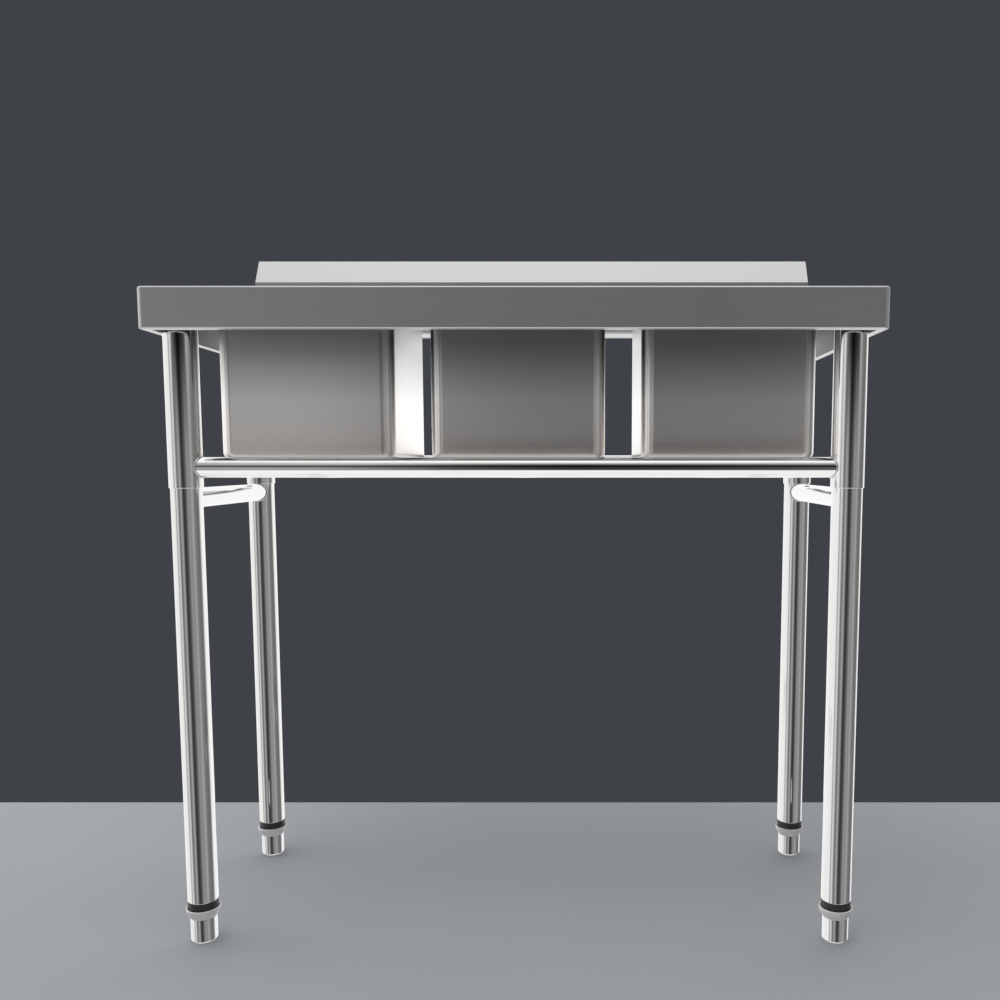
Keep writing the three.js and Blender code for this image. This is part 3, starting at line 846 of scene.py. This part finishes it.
def make_stopper(place, centre):
    """A knobbed post with a clamping collar, and the rubber disc under the collar."""
    low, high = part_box("stopper_post_" + place)
    seal_low, seal_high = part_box("stopper_seal_" + place)
    z0, z1 = low.z, high.z
    clamp_z = seal_high.z + GAP
    outline = rounded([
        (0.01 * MM, z0), (5 * MM, z0, 0.4 * MM), (5 * MM, z0 + 1.4 * MM, 0.4 * MM), (2.5 * MM, z0 + 1.4 * MM),
        (2.5 * MM, clamp_z), (9 * MM, clamp_z, 0.3 * MM), (9 * MM, clamp_z + 0.7 * MM, 0.3 * MM),
        (3.5 * MM, clamp_z + 0.7 * MM, 0.6 * MM), (3.5 * MM, z1 - 9 * MM, 1.5 * MM),
        (8 * MM, z1 - 6.6 * MM, 1.2 * MM), (8 * MM, z1 - 1.6 * MM, 1.4 * MM), (4.5 * MM, z1, 3 * MM),
        (3 * MM, z1 - 0.7 * MM, 1.2 * MM), (0.01 * MM, z1 - 0.8 * MM),
    ])
    post = lathe("stopper_knob_" + place, outline, centre, sides=64)
    dress(post, "stopper_" + place, "turned_steel", STEEL["turned"], "stopper_post_" + place)
    r = 0.9 * MM
    ring = rounded([
        (2.8 * MM, seal_low.z), (21.2 * MM, seal_low.z, r), (21.2 * MM, seal_high.z, r),
        (2.8 * MM, seal_high.z),
    ])
    seal = lathe("stopper_disc_" + place, ring, centre, ring=True, sides=72)
    dress(seal, "stopper_" + place, "gasket_rubber", RUBBER, "stopper_seal_" + place)


# ---------------------------------------------------------------- legs and rails

def weld_bead(name, path, radius):
    """A closed bead along a list of points, with the ripples of a run weld."""
    bm = bmesh.new()
    count = len(path)
    sides, ripples, ripple_depth = 10, 22, 0.18
    loops = []
    for i, point in enumerate(path):
        along = (path[(i + 1) % count] - path[i - 1]).normalized()
        side = along.orthogonal().normalized()
        other = along.cross(side)
        swell = radius * (1 + ripple_depth * math.sin(i * 2 * PI * ripples / count))
        loops.append([
            point + (side * math.cos(a) + other * math.sin(a)) * swell
            for a in (2 * PI * k / sides for k in range(sides))
        ])
    # Each loop starts next to the start of the one before, so that the skin doesn't twist.
    for i in range(1, count):
        nearest = min(range(sides), key=lambda k: (loops[i][k] - loops[i - 1][0]).length)
        loops[i] = loops[i][nearest:] + loops[i][:nearest]
    shift = min(range(sides), key=lambda k: (loops[-1][k] - loops[0][0]).length)
    rows = [[bm.verts.new(p) for p in loop] for loop in loops]
    for i in range(count):
        a, b = rows[i], rows[(i + 1) % count]
        offset = shift if i == count - 1 else 0
        for k in range(sides):
            m = (k + 1) % sides
            ka, ma = (k + offset) % sides, (m + offset) % sides
            bm.faces.new((a[ka], a[ma], b[m], b[k]))
    return new_object(name, bm)


def rail_points(axis, centre, sign, length, upright_radius, radius, sides=TURN_STEPS):
    """The curve where a round rail along X or Y meets an upright tube."""
    points = []
    for i in range(sides):
        angle = 2 * PI * i / sides
        across, up = radius * math.cos(angle), radius * math.sin(angle)
        along = sign * (length / 2 - math.sqrt(upright_radius ** 2 - across ** 2))
        offset = (along, across, up) if axis == "x" else (across, along, up)
        points.append(centre + Vector(offset))
    return points


def make_rail(node, axis, length, upright_radius):
    """A rail tube with its ends fitted to the uprights, and a weld bead round each end."""
    centre = centre_of(node)
    sunk = upright_radius - 0.2 * MM
    bm = bmesh.new()
    ends = [rail_points(axis, centre, sign, length, sunk, RAIL_RADIUS) for sign in (-1, 1)]
    inner = [
        rail_points(axis, centre, sign, length, sunk, RAIL_RADIUS - TUBE_WALL) for sign in (-1, 1)
    ]
    skin(bm, [ends[0], ends[1], inner[1], inner[0]], ring=True)
    rail = new_object(node + "_tube", bm)
    dress(rail, "sink", "tube_steel", STEEL["tube_" + axis], node)
    for sign, side in ((-1, "a"), (1, "b")):
        path = rail_points(axis, centre, sign, length, upright_radius + 0.35 * MM, RAIL_RADIUS + 0.35 * MM)
        bead = weld_bead(node + "_weld_" + side, path, 1.0 * MM)
        dress(bead, "sink", "tube_steel", STEEL["weld"])


def make_sleeve(place):
    """An upper leg tube with a hole for its set screw and a weld bead round its top."""
    node = "leg_sleeve_" + place
    low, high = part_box(node)
    c = (low + high) / 2
    bore = SLEEVE_RADIUS - SLEEVE_WALL
    outline = rounded([
        (bore, low.z, 0.5 * MM), (SLEEVE_RADIUS, low.z, 0.7 * MM),
        (SLEEVE_RADIUS, high.z), (bore, high.z),
    ], closed=True, steps=4)
    sleeve = lathe(node + "_tube", outline, (c.x, c.y), ring=True)
    side = 1 if c.y < 0 else -1
    hole = 3.1 * MM
    bm = bmesh.new()
    loops = lathe_loops([(hole, 10 * MM), (hole, 30 * MM)], sides=40)
    skin(bm, loops, caps=(True, True))
    turn = Matrix.Rotation(-side * PI / 2, 4, "X")
    screw_z = centre_of("set_screw_" + place).z
    bm.transform(Matrix.Translation((c.x, c.y, screw_z)) @ turn)
    carve(sleeve, [new_object("cut_screw", bm)])
    dress(sleeve, "sink", "tube_steel", STEEL["tube_z"], node)
    sleeve.visible_glossy = False
    path = lathe_loops([(SLEEVE_RADIUS + 0.3 * MM, high.z)], (c.x, c.y))[0]
    bead = weld_bead(node + "_weld", path, 1.4 * MM)
    dress(bead, "sink", "tube_steel", STEEL["weld"])


def make_plate(place):
    """The mounting plate between a sleeve and the deck."""
    node = "sleeve_plate_" + place
    low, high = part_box(node)
    plate = block(node + "_pad", low, high, 0.5 * MM)
    dress(plate, "sink", "sheet_steel", STEEL["sheet"], node)


def make_leg_tube(place):
    """The lower leg, plugged into the sleeve."""
    node = "leg_tube_" + place
    low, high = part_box(node)
    c = (low + high) / 2
    bore = LEG_RADIUS - TUBE_WALL
    outline = rounded([
        (bore, low.z, 0.3 * MM), (LEG_RADIUS, low.z, 0.8 * MM), (LEG_RADIUS, high.z, 0.4 * MM),
        (bore, high.z, 0.3 * MM),
    ], closed=True)
    leg = lathe(node + "_shaft", outline, (c.x, c.y), ring=True)
    dress(leg, "sink", "tube_steel", STEEL["tube_z"], node)
    leg.visible_glossy = False


def make_set_screw(place):
    """A round-headed screw with a hexagon socket, pointing at the leg's axis."""
    node = "set_screw_" + place
    low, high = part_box(node)
    c = (low + high) / 2
    side = 1 if c.y < 0 else -1
    length = high.y - low.y
    head = length - 3.2 * MM
    outline = rounded([
        (0.01 * MM, 0), (3 * MM, 0, 0.4 * MM), (3 * MM, head), (5.2 * MM, head, 0.3 * MM),
        (5.2 * MM, head + 1.2 * MM, 0.6 * MM), (4.0 * MM, length - 0.7 * MM, 1.2 * MM),
        (2.4 * MM, length, 0.4 * MM), (0.01 * MM, length),
    ])
    screw = lathe("cut", outline, (0, 0), sides=48)
    bm = bmesh.new()
    socket = [(1.9 * MM, length - 1.8 * MM), (1.9 * MM, length + 1 * MM)]
    skin(bm, lathe_loops(socket, sides=6), caps=(True, True))
    carve(screw, [new_object("cut_hexagon", bm)])
    turn = Matrix.Rotation(-side * PI / 2, 4, "X")
    start = low.y if side > 0 else high.y
    screw.data.transform(Matrix.Translation((c.x, start, c.z)) @ turn)
    screw.name = node + "_bolt"
    dress(screw, "sink", "turned_steel", STEEL["turned"], node)


def make_insert(place):
    """The black plug: a collar below the leg, a smooth plug inside the tube and a plain bore."""
    node = "leg_insert_" + place
    low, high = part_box(node)
    c = (low + high) / 2
    collar = (high.x - low.x) / 2
    bore = 8.3 * MM
    plug = LEG_RADIUS - TUBE_WALL - GAP
    collar_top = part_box("leg_tube_" + place)[0].z - 0.05 * MM
    outline = rounded([
        (bore, low.z, 0.5 * MM), (collar - 0.2 * MM, low.z, 0.6 * MM), (collar, low.z + 3 * MM, 1 * MM),
        (collar - 0.1 * MM, collar_top, 0.6 * MM), (plug, collar_top),
        (plug, high.z - 2 * MM, 0.5 * MM), (plug - 2 * MM, high.z, 0.5 * MM), (bore, high.z, 0.4 * MM),
    ], closed=True)
    insert = lathe(node + "_plug", outline, (c.x, c.y), ring=True)
    dress(insert, "sink", "insert_plastic", PLASTIC, node)


def make_foot(place):
    """A straight polished body, a pale bead flaring up to a shallow cup, and the threaded stud."""
    node = "foot_" + place
    low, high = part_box(node)
    c = (low + high) / 2
    body, bead = 16.6 * MM, (high.x - low.x) / 2
    cup, stud = 19.8 * MM, 8 * MM
    flare_z, widest_z, rim_z, floor_z = (low.z + h * MM for h in (31.5, 43, 44.5, 41.5))
    flare = []
    for i in range(13):
        share = i / 12
        radius = body + (bead - body) * math.sin(share * PI / 2)
        flare.append((radius, flare_z + (widest_z - flare_z) * share))
    base = rounded([
        (0.01 * MM, low.z), (body - 1.6 * MM, low.z, 0.8 * MM), (body, low.z + 1.6 * MM, 1.2 * MM),
        (body, flare_z),
    ])
    rim = rounded([
        (bead, widest_z), (bead - 0.1 * MM, rim_z, 0.7 * MM), (cup, rim_z, 0.5 * MM),
        (cup, floor_z, 0.8 * MM), (stud, floor_z),
    ])
    threads = thread_rod(stud, 2 * MM, floor_z + 1 * MM, high.z - 2 * MM, 0.7 * MM)
    outline = base[:-1] + flare[:-1] + rim + threads + [(stud - 1 * MM, high.z), (0.01 * MM, high.z)]
    foot = lathe(node + "_turned", outline, (c.x, c.y))
    foot.data.materials.append(STEEL["foot"])
    foot.data.materials.append(STEEL["bead"])
    for face in foot.data.polygons:
        on_bead = flare_z < face.center.z < rim_z + 0.2 * MM
        face.material_index = 1 if on_bead else 0
    dress(foot, node, "foot_steel", None, node)


# ---------------------------------------------------------------- build

make_deck()
make_backsplash()
make_stiffener("deck_stiffener_front")
make_stiffener("deck_stiffener_rear")
for bowl_place in PLACES:
    middle = centre_of("bowl_" + bowl_place)
    axis_xy = (middle.x, middle.y)
    make_bowl(bowl_place)
    make_waste_body(bowl_place, axis_xy)
    make_gasket(bowl_place, axis_xy)
    make_nut(bowl_place, axis_xy)
    make_basket(bowl_place, axis_xy)
    make_stopper(bowl_place, axis_xy)
for leg_place in LEG_PLACES:
    make_sleeve(leg_place)
    make_plate(leg_place)
    make_leg_tube(leg_place)
    make_set_screw(leg_place)
    make_insert(leg_place)
    make_foot(leg_place)
leg_span_x = 2 * centre_of("leg_tube_front_right").x
leg_span_y = centre_of("leg_tube_rear_left").y - centre_of("leg_tube_front_left").y
make_rail("front_rail", "x", leg_span_x, SLEEVE_RADIUS)
make_rail("rear_rail", "x", leg_span_x, SLEEVE_RADIUS)
make_rail("side_rail_left", "y", leg_span_y, LEG_RADIUS)
make_rail("side_rail_right", "y", leg_span_y, LEG_RADIUS)


# ---------------------------------------------------------------- stage, light and camera

def make_floor():
    """A pale floor that ends close behind the sink, in front of a plain background."""
    half_width, front_y, back_y = 6, -9, REAR_Y + 85 * MM
    bm = bmesh.new()
    corners = [
        (-half_width, front_y), (half_width, front_y), (half_width, back_y), (-half_width, back_y),
    ]
    bm.faces.new([bm.verts.new((x, y, 0)) for x, y in corners])
    floor = new_object("floor", bm)
    s = Surface("floor_paint")
    cloud = s.noise((1, 1, 1), 0.8, 3)
    s.colour(s.mix(s.spread(cloud, 0, 1), (0.29, 0.305, 0.325), (0.32, 0.335, 0.355)))
    s.set(roughness=0.75, specular=0.2)
    floor.data.materials.append(s.material)
    floor.visible_glossy = False


def ramp(tree, stops):
    """A colour ramp through (position, brightness) stops."""
    node = tree.nodes.new("ShaderNodeValToRGB")
    node.color_ramp.interpolation = "LINEAR"
    elements = node.color_ramp.elements
    while len(elements) > 1:
        elements.remove(elements[-1])
    elements[0].position = stops[0][0]
    elements[0].color = (*[stops[0][1]] * 3, 1)
    for position, value in stops[1:]:
        elements.new(position).color = (*[value] * 3, 1)
    return node


# The studio round the sink: brightness by azimuth in degrees, 0 in front and positive to the right.
STUDIO_RING = [
    (-180, 1.1), (-76, 1.0), (-70, 0.8), (-63, 0.34), (-56, 0.8), (-48, 0.68), (-40, 0.20),
    (-31, 0.22), (-23, 0.42), (-16, 0.36), (-8, 0.10), (-1, 0.035), (7, 0.055), (14, 0.10),
    (21, 0.17), (29, 0.30), (36, 0.33), (44, 0.28), (52, 0.35), (60, 0.43), (69, 0.29), (77, 0.22),
    (87, 0.19), (97, 0.17), (109, 0.20), (116, 0.5), (122, 0.9), (137, 1.1), (180, 1.1),
]
# Brightness above and below the ring, by the sine of the elevation, and the ring's share of it.
ABOVE_BELOW = [(-1.0, 1.05), (-0.5, 1.1), (0.0, 1.0), (0.6, 1.1), (1.0, 1.3)]
RING_SHARE = [
    (-1.0, 0.0), (-0.58, 0.0), (-0.47, 1.0), (0.42, 1.0), (0.62, 0.75), (0.79, 0.35), (0.92, 0.0),
]
# A dark screen in front, just above the camera: its share by azimuth and by the sine of the elevation.
SCREEN_WIDTH = [(-180, 0.0), (-42, 0.0), (-22, 0.9), (40, 0.9), (56, 0.0), (180, 0.0)]
SCREEN_HEIGHT = [(-1.0, 0.0), (0.01, 0.0), (0.12, 1.0), (0.26, 1.0), (0.38, 0.0), (1.0, 0.0)]


# Shade below the sink at both sides, which keeps tubes seen from above from turning plain white.
SHADE_WIDTH = [
    (-180, 0.0), (-150, 0.0), (-110, 0.6), (-75, 0.6), (-45, 0.0), (45, 0.0), (65, 0.65),
    (105, 0.75), (150, 0.0), (180, 0.0),
]
SHADE_HEIGHT = [(-1.0, 0.0), (-0.93, 0.0), (-0.82, 1.0), (-0.56, 1.0), (-0.47, 0.0), (1.0, 0.0)]


def make_world():
    """The studio as light, and a plain background behind the sink."""
    world = bpy.data.worlds.new("studio")
    bpy.context.scene.world = world
    world.use_nodes = True
    tree = world.node_tree
    tree.nodes.clear()

    def math_node(operation, first, second):
        node = tree.nodes.new("ShaderNodeMath")
        node.operation = operation
        for socket, value in zip(node.inputs, (first, second)):
            if isinstance(value, (int, float)):
                socket.default_value = value
            else:
                tree.links.new(value, socket)
        return node.outputs[0]

    direction = tree.nodes.new("ShaderNodeTexCoord").outputs["Generated"]
    parts = tree.nodes.new("ShaderNodeSeparateXYZ")
    tree.links.new(direction, parts.inputs[0])
    towards_front = math_node("MULTIPLY", parts.outputs["Y"], -1.0)
    azimuth = math_node("ARCTAN2", parts.outputs["X"], towards_front)
    turn = math_node("ADD", math_node("DIVIDE", azimuth, 2 * PI), 0.5)
    ring = ramp(tree, [((a + 180) / 360, v) for a, v in STUDIO_RING])
    tree.links.new(turn, ring.inputs[0])
    height = math_node("ADD", math_node("DIVIDE", parts.outputs["Z"], 2.0), 0.5)
    dome = ramp(tree, [((s + 1) / 2, v) for s, v in ABOVE_BELOW])
    tree.links.new(height, dome.inputs[0])
    share = ramp(tree, [((s + 1) / 2, v) for s, v in RING_SHARE])
    tree.links.new(height, share.inputs[0])

    def past(width, upright):
        """The light that gets past a dark screen, given its share by azimuth and by height."""
        across = ramp(tree, [((a + 180) / 360, v) for a, v in width])
        tree.links.new(turn, across.inputs[0])
        upward = ramp(tree, [((s + 1) / 2, v) for s, v in upright])
        tree.links.new(height, upward.inputs[0])
        screen = math_node("MULTIPLY", across.outputs["Color"], upward.outputs["Color"])
        return math_node("SUBTRACT", 1.0, screen)

    lit_ring = math_node("MULTIPLY", ring.outputs["Color"], past(SCREEN_WIDTH, SCREEN_HEIGHT))
    lit_dome = math_node("MULTIPLY", dome.outputs["Color"], past(SHADE_WIDTH, SHADE_HEIGHT))
    mixed = tree.nodes.new("ShaderNodeMix")
    mixed.data_type = "RGBA"
    tree.links.new(share.outputs["Color"], mixed.inputs["Factor"])
    tree.links.new(lit_dome, mixed.inputs[6])
    tree.links.new(lit_ring, mixed.inputs[7])
    studio = tree.nodes.new("ShaderNodeBackground")
    studio.inputs["Strength"].default_value = 1.0
    tree.links.new(mixed.outputs[2], studio.inputs["Color"])
    # The camera itself sees a plain dark background instead of the studio.
    plain = tree.nodes.new("ShaderNodeBackground")
    plain.inputs["Color"].default_value = (0.050, 0.054, 0.063, 1)
    choose = tree.nodes.new("ShaderNodeMixShader")
    seen = tree.nodes.new("ShaderNodeLightPath").outputs["Is Camera Ray"]
    tree.links.new(seen, choose.inputs[0])
    tree.links.new(studio.outputs[0], choose.inputs[1])
    tree.links.new(plain.outputs[0], choose.inputs[2])
    output = tree.nodes.new("ShaderNodeOutputWorld")
    tree.links.new(choose.outputs[0], output.inputs["Surface"])


def area_light(name, place, target, size, power):
    """A soft light that isn't mirrored in the steel."""
    light = bpy.data.lights.new(name, "AREA")
    light.shape = "RECTANGLE"
    light.size, light.size_y = size
    light.energy = power
    obj = bpy.data.objects.new(name, light)
    obj.location = place
    obj.rotation_euler = (Vector(target) - Vector(place)).to_track_quat("-Z", "Y").to_euler()
    obj.visible_glossy = False
    bpy.context.scene.collection.objects.link(obj)


def make_lights():
    middle = (0, 0, 0.6)
    area_light("top_softbox", (-0.6, -0.4, 3.2), middle, size=(2.4, 1.6), power=25)
    area_light("left_softbox", (-3.2, 0.6, 1.6), middle, size=(1.6, 2.2), power=10)


def make_camera():
    """The viewpoint: just above the rails' height, right of the middle, tipped slightly down."""
    to_the_right, distance, height, tip = 0.081, 1.1443, 0.620, 0.098
    camera = bpy.data.cameras.new("camera")
    camera.sensor_width = 36
    camera.lens = 33.87
    camera.shift_x = -0.0814
    camera.shift_y = 0.0565
    camera.clip_start = 0.02
    camera.clip_end = 60
    camera.dof.use_dof = False
    obj = bpy.data.objects.new("camera", camera)
    obj.location = (to_the_right, FRONT_Y - distance, height)
    obj.rotation_euler = (PI / 2 - tip, 0, 0)
    bpy.context.scene.collection.objects.link(obj)
    bpy.context.scene.camera = obj


make_floor()
make_world()
make_lights()
make_camera()
bpy.context.scene.view_settings.view_transform = "Standard"
